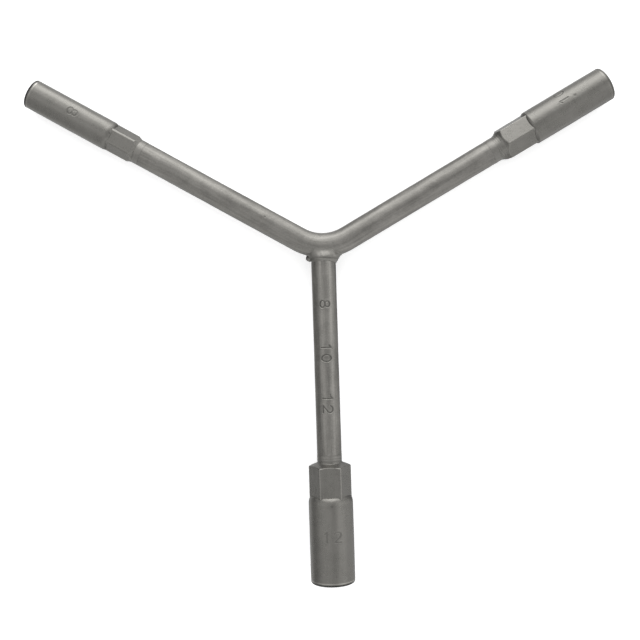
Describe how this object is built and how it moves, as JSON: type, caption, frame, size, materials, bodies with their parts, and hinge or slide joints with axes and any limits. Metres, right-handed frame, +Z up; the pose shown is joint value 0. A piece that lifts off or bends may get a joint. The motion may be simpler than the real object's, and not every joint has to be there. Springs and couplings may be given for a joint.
{
  "type": "y wrench",
  "caption": "Rigid Y-shaped socket wrench: a bent bar and a straight leg welded at a hub, with a hexagon-necked socket butt-welded to each end.",
  "frame": {"origin": "middle of the underside of the wrench's box, where its largest barrel touches the floor", "axes": "the wrench lies flat: +Z is up, -Y runs along the leg, +X towards the right arm; the axes of the arms lie in one level plane"},
  "size_m": [0.2392, 0.2072, 0.018],
  "materials": {
    "bar_steel": "satin, fine blasted, unplated",
    "socket_steel": "satin, fine blasted, unplated",
    "weld_steel": "satin weld metal, dressed at the sockets and left as laid at the hub"
  },
  "bodies": {
    "root": {"arm_bar": "bar_steel", "leg_bar": "bar_steel", "hub_weld": "weld_steel", "left_socket": "socket_steel", "left_weld_ring": "weld_steel", "right_socket": "socket_steel", "right_weld_ring": "weld_steel", "leg_socket": "socket_steel", "leg_weld_ring": "weld_steel"}
  },
  "joints": []
}
